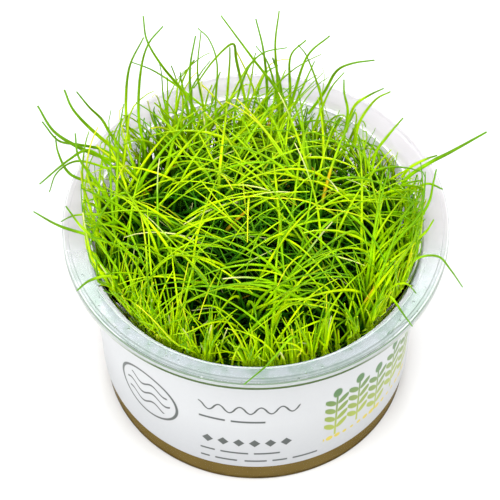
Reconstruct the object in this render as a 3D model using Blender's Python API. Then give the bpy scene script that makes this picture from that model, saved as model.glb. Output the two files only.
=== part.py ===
# Dwarf hairgrass growing in a round, clear culture cup with a printed paper sleeve.
# Metres, +Z up. The origin is the centre of the cup's base, and -Y is the front.

import math
import random

import bmesh
import bpy
from mathutils import Vector, noise
from mathutils.bvhtree import BVHTree

MM = 0.001
GAP = 0.3 * MM  # between pieces that touch
ROUND_SEGMENTS = 48
CORNER_STEPS = 3
CREASE_ANGLE = 40.0
ALL_SMOOTH = 180.0
TINY = 1e-6

# Cup: a wide flange with a turned-down lip over a wall that narrows to the base
RIM_DIAMETER = 100.0 * MM
CUP_HEIGHT = 61.0 * MM
WALL_THICKNESS = 0.7 * MM
WALL_TOP_RADIUS = 42.9 * MM
WALL_BASE_RADIUS = 40.9 * MM
MOUTH_ROUNDING = 2.5 * MM
RIM_ROUNDING = 0.6 * MM
LIP_DEPTH = 1.8 * MM
BASE_ROUNDING = 1.2 * MM
INNER_BASE_ROUNDING = 1.6 * MM

# Paper sleeve round the wall
LABEL_BOTTOM = 8.0 * MM
LABEL_TOP = 58.0 * MM
LABEL_THICKNESS = 0.3 * MM

# Set nutrient gel in the bottom of the cup
GEL_TOP = 11.0 * MM

# Mat of grass: it fills the cup and domes above the rim, but sinks towards the back of the wall
DOME_RADIUS = 45.2 * MM
DOME_START = CUP_HEIGHT + 1.6 * MM
DOME_HEIGHT = 8.5 * MM
DOME_SQUARENESS = 2.2
DOME_EDGE_SHARES = (1.0, 0.983, 0.93)
DOME_INNER_SHARE = 0.855
DOME_RINGS = 11
SINK_LEVEL = 25.0 * MM
SINK_SHARE = 0.3
SINK_START = 10.0 * MM
SINK_END = 42.0 * MM
SINK_CLEARANCE = 1.5 * MM  # extra room at the mouth, reached within the first part of the sink
SINK_CLEARANCE_RAMP = 8.0
LUMP_HEIGHT = 1.4 * MM
LUMP_SIZE = 11.0 * MM
LUMP_LIFT = 3.0  # how much more the lumps rise than spread

# Uneven top of the mat: a shallow trough round the middle tuft, and hollows between the tufts
TROUGH_DEPTH = 3.2 * MM
TROUGH_RADIUS = 27.0 * MM
TROUGH_REACH = 14.0 * MM
# Each hollow's middle seen from above, its radius and its depth under the dome: millimetres
HOLLOWS = [
    (-26.5, 16.5, 6.0, 11),
    (-21.5, 23.5, 6.5, 12),
    (-21.5, -22.0, 7.0, 12),
    (-5.0, -31.5, 6.5, 11),
    (3.0, -33.0, 6.5, 10),
    (12.0, -31.0, 5.0, 7),
    (29.5, -6.0, 7.0, 10),
    (-20.0, 2.5, 6.5, 10),
    (-28.0, 4.0, 6.0, 9),
    (20.5, -21.5, 7.0, 10),
    (15.0, -19.0, 6.0, 8),
    (-3.5, -17.0, 6.0, 8),
    (-10.0, -14.0, 5.5, 6),
    (-31.0, -12.5, 6.0, 9),
    (-16.5, -34.0, 5.0, 7),
    (23.0, 12.5, 6.5, 9),
    (13.0, 15.5, 6.0, 8),
    (0.0, 15.5, 6.0, 8),
    (15.0, -5.0, 6.0, 6),
    (-17.0, -13.5, 5.0, 6),
]

# Locks of leaves that stand out of the mat
LOCK_COUNT = 68
LOCK_SPREAD = 43.5 * MM
LOCK_RADIUS = 1.5 * MM
LOCK_TIP_RADIUS = 0.3 * MM
LOCK_SIDES = 4
LOCK_SEGMENTS = 4
LOCK_FINE_STEPS = 3  # points worked out for each segment
LOCK_SHORTEST = 9.0 * MM
LOCK_LONGEST = 17.0 * MM
LOCK_BACK_EXTRA = 9.0 * MM
LOCK_MIDDLE_LEAN = 6.0  # degrees from upright
LOCK_EDGE_LEAN = 58.0
LOCK_LEAN_CHANCE = 10.0
LOCK_SIDE_CHANCE = 0.35
LOCK_BOW = 0.25
LOCK_DROOP = 0.12
LOCK_LOWEST_TIP = CUP_HEIGHT + 3.0 * MM
LOCK_ROOT_DEPTH = 3.0 * MM
LOCK_ROOT_UPRIGHT = 0.6  # roots go down more steeply than the lock leans
LOCK_CLEARANCE = 2.6 * MM
LOCK_MARGIN = 1.8 * MM
LOCK_TRIES = 6
LOCK_SEED = 7
GOLDEN_ANGLE = math.pi * (3.0 - math.sqrt(5.0))

# Single leaves that stand clear of the mat
LEAF_SIDES = 4
LEAF_SEGMENTS = 6
LEAF_TIP_SHARE = 0.35
ROUTE_STEPS = 120
COARSE_ROUTE_STEPS = 30
THIN_LEAF = 0.7 * MM
LEAF = 0.9 * MM
THICK_LEAF = 1.2 * MM
ROOT_DEPTH = 8  # millimetres that a leaf's root may go on below its route, down to the mat

# Each leaf's width, then its route from its root in the mat to its tip: millimetres, heights above the flange
LEAF_ROUTES = [
    # Tall leaves at the back, from left to right
    (LEAF, [(-13, 32, -4), (-18, 34, 9), (-24, 34, 21), (-28, 37, 28), (-29, 42, 32)]),
    (LEAF, [(-29, 22, 2), (-30.5, 26, 10), (-30, 33, 19), (-28, 38, 25), (-24, 42, 28)]),
    (LEAF, [(-33, 24, 0), (-34, 29, 8), (-33, 35, 19), (-29, 39, 27)]),
    (THIN_LEAF, [(-12, 36, 0), (-19, 38.5, 6), (-24, 39, 11), (-28, 39.5, 14), (-32.5, 40, 16)]),
    (LEAF, [(-15, 27, -2), (-16.5, 27, 10), (-17, 31, 23), (-15.5, 37, 30)]),
    (THIN_LEAF, [(-12, 27, -2), (-13.5, 28, 11), (-15, 30, 24), (-14, 35, 34)]),
    (THIN_LEAF, [(-10, 29, -2), (-10.5, 29, 11), (-10, 34, 22), (-12, 39, 26), (-15, 43, 26)]),
    (LEAF, [(-1, 33, -4), (-3, 35, 8), (-5, 37, 20), (-6, 36, 28), (-11, 31, 27), (-16, 27, 21)]),
    (LEAF, [(10, 29, 0), (7, 31, 12), (-1, 34, 25), (-9, 43, 31)]),
    (LEAF, [(2, 32, -3), (3, 34, 10), (2, 36, 25), (0, 41, 32)]),
    (LEAF, [(6.5, 30, -3), (6, 33, 12), (5, 36, 27), (6, 42, 34)]),
    (THIN_LEAF, [(6, 36, 2), (5, 37, 10), (3, 38.5, 18), (0, 40.5, 22)]),
    (THIN_LEAF, [(-6, 26, 0), (-5, 29, 13), (-2, 31, 24), (2, 33, 28), (8, 33, 30)]),
    (LEAF, [(9, 32, -2), (9, 34, 12), (9, 36, 23), (13, 39, 26)]),
    (THIN_LEAF, [(10, 36, 2), (13, 39, 9), (15.5, 42, 14)]),
    (THIN_LEAF, [(18, 32, 0), (17, 33, 11), (13.5, 38, 20), (11, 40, 23)]),
    (LEAF, [(5, 26, 3), (9, 28, 13), (13, 33, 26), (19, 37, 30)]),
    (LEAF, [(14, 34, 2), (18, 35.5, 9), (21, 36, 17), (25, 37, 19), (31, 39, 18)]),
    (THIN_LEAF, [(15, 28, 2), (18, 30, 12), (20, 32, 16), (23, 34, 19)]),
    (LEAF, [(23, 25, 2), (24, 27, 11), (23, 30, 15.5), (23, 34, 16)]),
    (LEAF, [(26, 22, 4), (27, 24, 11), (31, 28, 15), (35, 30, 16)]),
    # Right side, from back to front
    (LEAF, [(30, 12, 6), (31, 14, 11), (34, 17, 14), (38, 22, 15)]),
    (THICK_LEAF, [(37, 6, 4), (39, 8, 8), (45, 10, 12), (50, 11, 15), (59, 15, 18)]),
    (LEAF, [(38, 12, 3), (40, 12.5, 6.5), (44, 14, 8), (47, 16, 7)]),
    (LEAF, [(38, 3, 4), (40, 4, 7), (44, 6, 8), (48, 5, 7)]),
    (LEAF, [(39, -8, 3), (41, -6, 7), (44, -2, 11), (45, 2, 13), (46, 6, 14)]),
    (LEAF, [(39, -14, 3), (40, -12, 7), (43, -10, 9), (45, -7, 10)]),
    (LEAF, [(39, -18, 3), (41, -16, 6), (46, -16, 6.5), (49, -19, 5), (52, -23, 3)]),
    (THIN_LEAF, [(34, -23, 3), (36, -24, 6), (38, -25, 7), (40, -27, 6)]),
    # Front edge
    (LEAF, [(32, -25, 2), (34, -27, 4), (37, -32, 3.5), (39, -34, 1.7)]),
    (LEAF, [(10, -38, 3), (8, -41, 6), (3, -47, 4.5), (-3, -51, 1.3)]),
    (LEAF, [(-35, -20, 3), (-38, -21, 5), (-42, -22.5, 5), (-45, -24, 3)]),
    # Left side, from front to back
    (LEAF, [(-38, -9, 3), (-42, -8, 4.5), (-50, -6, 6), (-57, 0, 4)]),
    (LEAF, [(-38, -13, 4), (-40, -12, 8), (-44, -10, 11), (-48, -5, 13)]),
    (THIN_LEAF, [(-37, -4, 5), (-39, -4, 8), (-46, -3, 6.5), (-50, -2, 2.5)]),
    (LEAF, [(-38, 3, 4), (-40, 5, 8), (-45, 8, 16), (-46, 13, 20)]),
    (LEAF, [(-39, 8, 2), (-42, 9, 4), (-48, 10, 7), (-51, 15, 9), (-52, 20, 10)]),
    (THIN_LEAF, [(-37, 12, 4), (-39, 12, 7), (-46, 11, 11), (-51, 8, 10), (-53, 4, 7)]),
    (LEAF, [(-36, 15, 2), (-38, 14, 6), (-43, 13, 13), (-48, 8, 15), (-55, 2, 13)]),
    (THICK_LEAF, [(-37, 18, 2), (-40, 17, 5), (-46, 15, 12), (-52, 17, 16), (-56, 22, 20)]),
    (LEAF, [(-35.5, 20.5, -2), (-40, 21, 3), (-46, 18, 9), (-51, 17, 12), (-55, 20, 16)]),
    (THICK_LEAF, [(-34, 20, 0), (-37, 19, 6), (-43, 19, 15), (-47, 21, 20), (-49, 24, 24)]),
    (LEAF, [(-34, 23, -2), (-38, 24, 6), (-40, 24, 12), (-43, 24, 17), (-46, 25, 22)]),
    # Low over the back of the flange
    (THIN_LEAF, [(-1, 38, -3), (1, 41, 5), (3, 45, 6), (6, 49, 4)]),
    (LEAF, [(24, 31, -2), (26, 34, 5), (30, 37, 6), (34, 41, 4)]),
]


def clear_scene():
    for old_object in list(bpy.data.objects):
        bpy.data.objects.remove(old_object, do_unlink=True)


def plain_material(name, colour, roughness, transmission=0.0):
    material = bpy.data.materials.new(name)
    material.use_nodes = True
    shader = material.node_tree.nodes["Principled BSDF"]
    shader.inputs["Base Color"].default_value = (*colour, 1.0)
    shader.inputs["Roughness"].default_value = roughness
    shader.inputs["Metallic"].default_value = 0.0
    shader.inputs["Transmission Weight"].default_value = transmission
    material.diffuse_color = (*colour, 1.0)
    return material


def add_object(name, bm, material, crease_angle=CREASE_ANGLE):
    bmesh.ops.recalc_face_normals(bm, faces=bm.faces)
    mesh = bpy.data.meshes.new(name)
    bm.to_mesh(mesh)
    bm.free()
    mesh.materials.append(material)
    mesh.shade_smooth()
    mesh.set_sharp_from_angle(angle=math.radians(crease_angle))
    new_object = bpy.data.objects.new(name, mesh)
    bpy.context.scene.collection.objects.link(new_object)
    return new_object


def wall_radius(z):
    # Outside radius of the cup's wall at a height
    slope = (WALL_TOP_RADIUS - WALL_BASE_RADIUS) / (CUP_HEIGHT - MOUTH_ROUNDING)
    return WALL_BASE_RADIUS + slope * z


def inner_radius(z):
    return wall_radius(z) - WALL_THICKNESS


def arc(centre, radius, start, end):
    # Points of an arc in the (radius, height) plane, angles in degrees
    points = []
    for step in range(CORNER_STEPS + 1):
        angle = math.radians(start + (end - start) * step / CORNER_STEPS)
        points.append((centre[0] + radius * math.cos(angle), centre[1] + radius * math.sin(angle)))
    return points


def turned(profile, closed=False):
    # Turns a profile round Z; a point on the axis becomes a single vertex
    bm = bmesh.new()
    rings = []
    for radius, z in profile:
        if radius < TINY:
            rings.append([bm.verts.new((0.0, 0.0, z))])
            continue
        ring = []
        for segment in range(ROUND_SEGMENTS):
            angle = 2.0 * math.pi * segment / ROUND_SEGMENTS
            ring.append(bm.verts.new((radius * math.cos(angle), radius * math.sin(angle), z)))
        rings.append(ring)
    pairs = list(zip(rings, rings[1:]))
    if closed:
        pairs.append((rings[-1], rings[0]))
    for lower, upper in pairs:
        for segment in range(ROUND_SEGMENTS):
            following = (segment + 1) % ROUND_SEGMENTS
            if len(lower) == 1:
                bm.faces.new((lower[0], upper[segment], upper[following]))
            elif len(upper) == 1:
                bm.faces.new((lower[segment], upper[0], lower[following]))
            else:
                bm.faces.new((lower[segment], upper[segment], upper[following], lower[following]))
    return bm


def smooth_route(points, steps):
    # Catmull-Rom curve through the points of a route
    ends = [points[0] * 2.0 - points[1], *points, points[-1] * 2.0 - points[-2]]
    spans = len(points) - 1
    route = []
    for step in range(steps + 1):
        along = spans * step / steps
        span = min(int(along), spans - 1)
        t = along - span
        a, b, c, d = ends[span:span + 4]
        route.append(0.5 * (2.0 * b + (c - a) * t + (2.0 * a - 5.0 * b + 4.0 * c - d) * t * t
                            + (3.0 * b - a - 3.0 * c + d) * t * t * t))
    return route


def add_spike(bm, route, radii, sides):
    # Closed rod along a route, with its own radius at each point
    rings = []
    across = Vector((0.0, 0.0, 1.0)).cross(route[1] - route[0])
    if across.length < TINY * TINY:
        across = Vector((1.0, 0.0, 0.0))
    for index, centre in enumerate(route):
        before = route[max(index - 1, 0)]
        after = route[min(index + 1, len(route) - 1)]
        along = (after - before).normalized()
        across = (across - along * across.dot(along)).normalized()
        up = along.cross(across)
        ring = []
        for side in range(sides):
            angle = 2.0 * math.pi * side / sides
            offset = across * math.cos(angle) + up * math.sin(angle)
            ring.append(bm.verts.new(centre + offset * radii[index]))
        rings.append(ring)
    for lower, upper in zip(rings, rings[1:]):
        for side in range(sides):
            following = (side + 1) % sides
            bm.faces.new((lower[side], lower[following], upper[following], upper[side]))
    bm.faces.new(list(reversed(rings[0])))
    bm.faces.new(rings[-1])


def tapered(start, end, count):
    return [start + (end - start) * index / (count - 1) for index in range(count)]


def make_cup():
    floor = WALL_THICKNESS
    inner_corner = (inner_radius(floor) - INNER_BASE_ROUNDING, floor + INNER_BASE_ROUNDING)
    mouth = (inner_radius(CUP_HEIGHT - MOUTH_ROUNDING) + MOUTH_ROUNDING, CUP_HEIGHT - MOUTH_ROUNDING)
    rim = RIM_DIAMETER / 2.0
    lip_inside = rim - WALL_THICKNESS
    profile = [(0.0, floor)]
    profile += arc(inner_corner, INNER_BASE_ROUNDING, -90, 0)
    profile += arc(mouth, MOUTH_ROUNDING, 180, 90)
    profile += arc((rim - RIM_ROUNDING, CUP_HEIGHT - RIM_ROUNDING), RIM_ROUNDING, 90, 0)
    profile += [(rim, CUP_HEIGHT - LIP_DEPTH), (lip_inside, CUP_HEIGHT - LIP_DEPTH)]
    profile += [(lip_inside, CUP_HEIGHT - WALL_THICKNESS)]
    profile += arc(mouth, MOUTH_ROUNDING - WALL_THICKNESS, 90, 180)
    profile += arc((wall_radius(BASE_ROUNDING) - BASE_ROUNDING, BASE_ROUNDING), BASE_ROUNDING, 0, -90)
    profile += [(0.0, 0.0)]
    add_object("cup", turned(profile), plain_material("clear_plastic", (0.85, 0.89, 0.88), 0.08, 0.9))


def make_label():
    profile = []
    for z, rise in ((LABEL_BOTTOM, 0.0), (LABEL_TOP, 0.0), (LABEL_TOP, 1.0), (LABEL_BOTTOM, 1.0)):
        profile.append((wall_radius(z) + GAP + LABEL_THICKNESS * rise, z))
    add_object("label", turned(profile, closed=True), plain_material("label_paper", (0.82, 0.83, 0.83), 0.45))


def make_gel():
    floor = WALL_THICKNESS + GAP
    rounding = INNER_BASE_ROUNDING - GAP
    corner = (inner_radius(WALL_THICKNESS) - GAP - rounding, floor + rounding)
    profile = [(0.0, floor)]
    profile += arc(corner, rounding, -90, 0)
    profile += [(inner_radius(GEL_TOP) - GAP, GEL_TOP), (0.0, GEL_TOP)]
    add_object("gel", turned(profile), plain_material("nutrient_gel", (0.28, 0.19, 0.07), 0.25))


def leaf_route(points, steps):
    raised = [Vector((x, y, height)) * MM + Vector((0.0, 0.0, CUP_HEIGHT)) for x, y, height in points]
    return smooth_route(raised, steps)


def rooted(points):
    # The route goes on straight down below its first point
    x, y, height = points[0]
    return [(x, y, height - ROOT_DEPTH), *points]


def sink_share(y):
    # How far the mat has sunk at a distance towards the back, from 0 to 1
    share = min(max((y - SINK_START) / (SINK_END - SINK_START), 0.0), 1.0)
    return share * share * (3.0 - 2.0 * share)


def sunk_height(y, z):
    if z <= SINK_LEVEL:
        return z
    return SINK_LEVEL + (z - SINK_LEVEL) * (1.0 - SINK_SHARE * sink_share(y))


def dome_rise(share):
    # Height of the dome above its start, at a share of its radius
    return DOME_HEIGHT * (1.0 - share ** DOME_SQUARENESS) ** (1.0 / DOME_SQUARENESS)


def dip(share):
    # Form of a hollow: 1 in its middle, falling smoothly to 0 at its edge
    return max(1.0 - share * share, 0.0) ** 2


def hollow_depth(x, y):
    # How far the mat's top lies under the dome
    depth = TROUGH_DEPTH * dip((math.hypot(x, y) - TROUGH_RADIUS) / TROUGH_REACH)
    for middle_x, middle_y, radius, fall in HOLLOWS:
        share = math.hypot(x / MM - middle_x, y / MM - middle_y) / radius
        depth = max(depth, fall * MM * dip(share))
    return depth


def mat_height(x, y):
    # Height of the mat's top, without its lumps
    share = min(math.hypot(x, y) / DOME_RADIUS, 1.0)
    return sunk_height(y, DOME_START + dome_rise(share) - hollow_depth(x, y))


def kept_inside(spot, margin):
    # Draws a point in towards the axis until it clears the wall and the rounded mouth; above them it is free
    mouth_z = CUP_HEIGHT - MOUTH_ROUNDING
    reach = MOUTH_ROUNDING + margin
    room = RIM_DIAMETER
    if spot.z <= mouth_z:
        room = inner_radius(spot.z) - margin
    elif spot.z < mouth_z + reach:
        room = inner_radius(mouth_z) + MOUTH_ROUNDING - math.sqrt(reach ** 2 - (spot.z - mouth_z) ** 2)
    share = min(room / max(math.hypot(spot.x, spot.y), TINY), 1.0)
    return Vector((spot.x * share, spot.y * share, spot.z))


def mat_profile():
    # From the middle of the underside, up the cup's wall, round its mouth and over the dome
    bottom = GEL_TOP + GAP
    mouth_z = CUP_HEIGHT - MOUTH_ROUNDING
    mouth = (inner_radius(mouth_z) + MOUTH_ROUNDING, mouth_z)
    profile = [(0.0, bottom), (inner_radius(bottom) - GAP, bottom)]
    profile += [(inner_radius(mouth_z / 2.0) - GAP, mouth_z / 2.0)]
    profile += arc(mouth, MOUTH_ROUNDING + GAP, 180, 95)
    shares = list(DOME_EDGE_SHARES) + tapered(DOME_INNER_SHARE, 0.0, DOME_RINGS + 1)
    profile += [(DOME_RADIUS * share, DOME_START + dome_rise(share)) for share in shares]
    return profile


def lock_route(index, turn, chance):
    # Golden-angle spacing over the dome; the outer locks lean out and droop
    share = (index + 0.5) / LOCK_COUNT
    distance = LOCK_SPREAD * math.sqrt(share)
    angle = index * GOLDEN_ANGLE + turn
    outward = Vector((math.cos(angle), math.sin(angle), 0.0))
    sideways = Vector((-math.sin(angle), math.cos(angle), 0.0))
    lean = LOCK_MIDDLE_LEAN + (LOCK_EDGE_LEAN - LOCK_MIDDLE_LEAN) * share
    lean = math.radians(lean + chance.uniform(-LOCK_LEAN_CHANCE, LOCK_LEAN_CHANCE))
    length = chance.uniform(LOCK_SHORTEST, LOCK_LONGEST)
    length += LOCK_BACK_EXTRA * sink_share(distance * outward.y)
    bow = chance.uniform(-LOCK_BOW, LOCK_BOW)
    slant = chance.uniform(-LOCK_SIDE_CHANCE, LOCK_SIDE_CHANCE)
    up = Vector((0.0, 0.0, 1.0))
    growth = (outward * math.sin(lean) + up * math.cos(lean) + sideways * slant).normalized()
    foot = outward * distance
    surface = foot + up * mat_height(foot.x, foot.y)
    root = surface - (growth + up * LOCK_ROOT_UPRIGHT).normalized() * LOCK_ROOT_DEPTH
    middle = surface + growth * length * 0.5 + sideways * length * bow
    tip = surface + growth * length - up * LOCK_DROOP * length * share
    tip.z = max(tip.z, LOCK_LOWEST_TIP)
    route = smooth_route([root, surface, middle, tip], LOCK_SEGMENTS * LOCK_FINE_STEPS)
    return [kept_inside(spot, LOCK_RADIUS + LOCK_MARGIN) for spot in route]


def nearest(route, others):
    return min(((a - b).length for a in route for other in others for b in other), default=1.0)


def make_turf(leaf_routes):
    material = plain_material("hairgrass_mat", (0.17, 0.36, 0.012), 0.55)
    bm = turned(mat_profile())
    for vertex in bm.verts:
        spot = vertex.co.copy()
        if spot.z >= DOME_START - GAP:
            outward = Vector((spot.x, spot.y, (spot.z - DOME_START) * LUMP_LIFT))
            spot += outward.normalized() * noise.noise(spot / LUMP_SIZE) * LUMP_HEIGHT
            spot.z -= hollow_depth(spot.x, spot.y)
        margin = GAP
        if spot.z > CUP_HEIGHT - MOUTH_ROUNDING:
            margin += SINK_CLEARANCE * min(sink_share(spot.y) * SINK_CLEARANCE_RAMP, 1.0)
        spot.z = sunk_height(spot.y, spot.z)
        vertex.co = kept_inside(spot, margin)
    turf = add_object("turf", bm, material, ALL_SMOOTH)

    chance = random.Random(LOCK_SEED)
    routes = []
    bm = bmesh.new()
    for index in range(LOCK_COUNT):
        for attempt in range(LOCK_TRIES):
            route = lock_route(index, attempt * GOLDEN_ANGLE / (2 * LOCK_TRIES), chance)
            above = route[LOCK_SEGMENTS:]
            if nearest(above, leaf_routes) > LOCK_CLEARANCE and nearest(above, routes) > LOCK_CLEARANCE:
                routes.append(route)
                kept = route[::LOCK_FINE_STEPS]
                radii = tapered(LOCK_RADIUS, LOCK_TIP_RADIUS, len(kept))
                add_spike(bm, kept, radii, LOCK_SIDES)
                break
    locks = add_object("locks_to_join", bm, material)
    locks.hide_render = True
    locks.display_type = "WIRE"
    join = turf.modifiers.new("join_locks", "BOOLEAN")
    join.operation = "UNION"
    join.solver = "EXACT"
    join.object = locks
    return turf


def make_leaf(name, width, route, mat_tree, material):
    # The leaf starts where it comes clear of the mat
    radius = width / 2.0
    start = len(route) - 1
    while start > 0:
        distance = mat_tree.find_nearest(route[start - 1])[3]
        if distance < radius + GAP:
            break
        start -= 1
    free = route[start:]
    kept = [free[round(index * (len(free) - 1) / LEAF_SEGMENTS)] for index in range(LEAF_SEGMENTS + 1)]
    bm = bmesh.new()
    add_spike(bm, kept, tapered(radius, radius * LEAF_TIP_SHARE, len(kept)), LEAF_SIDES)
    add_object(name, bm, material, ALL_SMOOTH)


def main():
    clear_scene()
    make_cup()
    make_label()
    make_gel()
    coarse = [leaf_route(points, COARSE_ROUTE_STEPS) for width, points in LEAF_ROUTES]
    turf = make_turf(coarse)
    bpy.context.view_layer.update()
    mat_tree = BVHTree.FromObject(turf, bpy.context.evaluated_depsgraph_get())
    material = plain_material("hairgrass_leaf", (0.22, 0.43, 0.014), 0.45)
    for number, (width, points) in enumerate(LEAF_ROUTES, start=1):
        route = leaf_route(rooted(points), ROUTE_STEPS)
        make_leaf(f"leaf_{number:02d}", width, route, mat_tree, material)


main()
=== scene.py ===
import math

import bmesh
import bpy
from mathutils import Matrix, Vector, noise


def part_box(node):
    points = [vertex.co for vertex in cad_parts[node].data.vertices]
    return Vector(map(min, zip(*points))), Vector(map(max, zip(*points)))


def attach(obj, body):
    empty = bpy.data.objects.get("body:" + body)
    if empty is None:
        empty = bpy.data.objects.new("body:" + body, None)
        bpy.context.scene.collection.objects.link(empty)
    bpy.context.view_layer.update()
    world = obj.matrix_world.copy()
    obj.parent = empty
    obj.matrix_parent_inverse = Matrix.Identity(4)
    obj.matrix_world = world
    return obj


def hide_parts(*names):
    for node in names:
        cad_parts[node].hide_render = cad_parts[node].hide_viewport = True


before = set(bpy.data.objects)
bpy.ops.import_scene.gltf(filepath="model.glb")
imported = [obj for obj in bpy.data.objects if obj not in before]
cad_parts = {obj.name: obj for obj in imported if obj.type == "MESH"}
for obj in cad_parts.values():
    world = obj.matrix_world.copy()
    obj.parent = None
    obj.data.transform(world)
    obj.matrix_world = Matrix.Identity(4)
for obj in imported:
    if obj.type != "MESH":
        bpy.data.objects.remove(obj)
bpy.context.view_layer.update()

mm = 0.001
body = "root"
print("frame loaded:", len(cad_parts), "nodes")

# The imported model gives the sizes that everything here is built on
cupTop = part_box("cup")[1]
rimRadius = cupTop.x
rimHeight = cupTop.z
sleeveFoot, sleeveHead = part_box("label")[0].z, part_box("label")[1].z
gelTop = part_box("gel")[1].z

wall = {
    "thickness": 0.7 * mm,
    "topRadius": 42.9 * mm,  # outside, where the mouth's rounding starts
    "baseRadius": 40.9 * mm,  # outside, at the base
    "mouthRounding": 2.5 * mm,
    "leafGap": 0.6 * mm,  # what the leaves keep clear of it
}
mouthHeight = rimHeight - wall["mouthRounding"]
wallSlope = (wall["topRadius"] - wall["baseRadius"]) / mouthHeight


def wallRadius(z):
    return wall["baseRadius"] + wallSlope * z


def innerRadius(z):
    return wallRadius(z) - wall["thickness"]


# Node helpers, which serve geometry trees and materials alike

class Field:
    # A node's output. Arithmetic on it adds Math nodes to its own tree

    def __init__(self, socket):
        self.socket = socket

    def __add__(self, other):
        return calc("ADD", self, other)

    def __radd__(self, other):
        return calc("ADD", other, self)

    def __sub__(self, other):
        return calc("SUBTRACT", self, other)

    def __rsub__(self, other):
        return calc("SUBTRACT", other, self)

    def __mul__(self, other):
        return calc("MULTIPLY", self, other)

    def __truediv__(self, other):
        return calc("DIVIDE", self, other)

    def __pow__(self, other):
        return calc("POWER", self, other)

    def __gt__(self, other):
        return calc("GREATER_THAN", self, other)

    def __lt__(self, other):
        return calc("LESS_THAN", self, other)

    def __abs__(self):
        return calc("ABSOLUTE", self)


def findSocket(node, key):
    if isinstance(key, int):
        return node.inputs[key]
    return next(socket for socket in node.inputs if socket.name == key and socket.enabled)


def addNode(kind, plugs=None, tree=None, **settings):
    # The node goes into the tree of what is plugged into it, unless a tree is given
    plugs = {key: getattr(value, "socket", value) for key, value in (plugs or {}).items()}
    linked = {key for key, value in plugs.items() if isinstance(value, bpy.types.NodeSocket)}
    tree = tree or next(plugs[key].id_data for key in linked)
    node = tree.nodes.new(kind)
    for name, value in settings.items():
        setattr(node, name, value)
    for key, value in plugs.items():
        if key in linked:
            tree.links.new(value, findSocket(node, key))
        else:
            findSocket(node, key).default_value = value
    return node


def field(kind, plugs=None, output=0, tree=None, **settings):
    return Field(addNode(kind, plugs, tree, **settings).outputs[output])


def link(value, socket):
    socket.id_data.links.new(value.socket, socket)


def calc(operation, *values):
    return field("ShaderNodeMath", dict(enumerate(values)), operation=operation)


def aim(operation, *vectors, scale=None):
    plugs = dict(enumerate(vectors))
    if scale is not None:
        plugs["Scale"] = scale
    output = "Value" if operation in ("LENGTH", "DOT_PRODUCT") else "Vector"
    return field("ShaderNodeVectorMath", plugs, output, operation=operation)


def spread(value, low, high, newLow=0.0, newHigh=1.0, style="LINEAR"):
    plugs = {"Value": value, "From Min": low, "From Max": high, "To Min": newLow, "To Max": newHigh}
    return field("ShaderNodeMapRange", plugs, "Result", interpolation_type=style)


def ease(value, low, high, newLow=0.0, newHigh=1.0):
    return spread(value, low, high, newLow, newHigh, "SMOOTHSTEP")


def joinXyz(x, y, z):
    return field("ShaderNodeCombineXYZ", {0: x, 1: y, 2: z})


def splitXyz(vector):
    return [Field(socket) for socket in addNode("ShaderNodeSeparateXYZ", {0: vector}).outputs]


def anyOf(*masks):
    most = masks[0]
    for mask in masks[1:]:
        most = calc("MAXIMUM", most, mask)
    return most


def newTree(name, inputs):
    # A number is an input with that value, and a word is an input of that kind
    tree = bpy.data.node_groups.new(name, "GeometryNodeTree")
    for label, value in inputs.items():
        kind = value if isinstance(value, str) else type(value).__name__.title()
        socket = tree.interface.new_socket(label, in_out="INPUT", socket_type="NodeSocket" + kind)
        if kind != value:
            socket.default_value = value
    tree.interface.new_socket("Geometry", in_out="OUTPUT", socket_type="NodeSocketGeometry")
    given = {socket.name: Field(socket) for socket in tree.nodes.new("NodeGroupInput").outputs}
    return tree, given, tree.nodes.new("NodeGroupOutput").inputs[0]


def store(geometry, name, value, kind="FLOAT"):
    plugs = {"Geometry": geometry, "Name": name, "Value": value}
    return field("GeometryNodeStoreNamedAttribute", plugs, data_type=kind)


def endTree(geometry, given, result):
    real = field("GeometryNodeRealizeInstances", {"Geometry": geometry})
    link(field("GeometryNodeSetMaterial", {"Geometry": real, "Material": given["Material"]}), result)


def linkObject(name, data):
    thing = bpy.data.objects.new(name, data)
    bpy.context.scene.collection.objects.link(thing)
    return thing


def growMesh(name, source, tree, values):
    # Runs a tree on an object, keeps the result as a plain mesh and drops the modifier
    modifier = source.modifiers.new(tree.name, "NODES")
    modifier.node_group = tree
    for item in tree.interface.items_tree:
        if item.in_out == "INPUT" and item.name in values:
            modifier[item.identifier] = values[item.name]
    source.update_tag()
    graph = bpy.context.evaluated_depsgraph_get()
    graph.update()
    mesh = bpy.data.meshes.new_from_object(source.evaluated_get(graph), depsgraph=graph)
    source.modifiers.remove(modifier)
    bpy.data.objects.remove(source)
    mesh.name = name
    return linkObject(name, mesh)


def finishPiece(piece, node):
    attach(piece, body)
    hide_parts(node)
    return piece


# Turned pieces

def arcPoints(centre, radius, start, end, steps):
    points = []
    for step in range(steps + 1):
        angle = math.radians(start + (end - start) * step / steps)
        points.append((centre[0] + radius * math.cos(angle), centre[1] + radius * math.sin(angle)))
    return points


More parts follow.
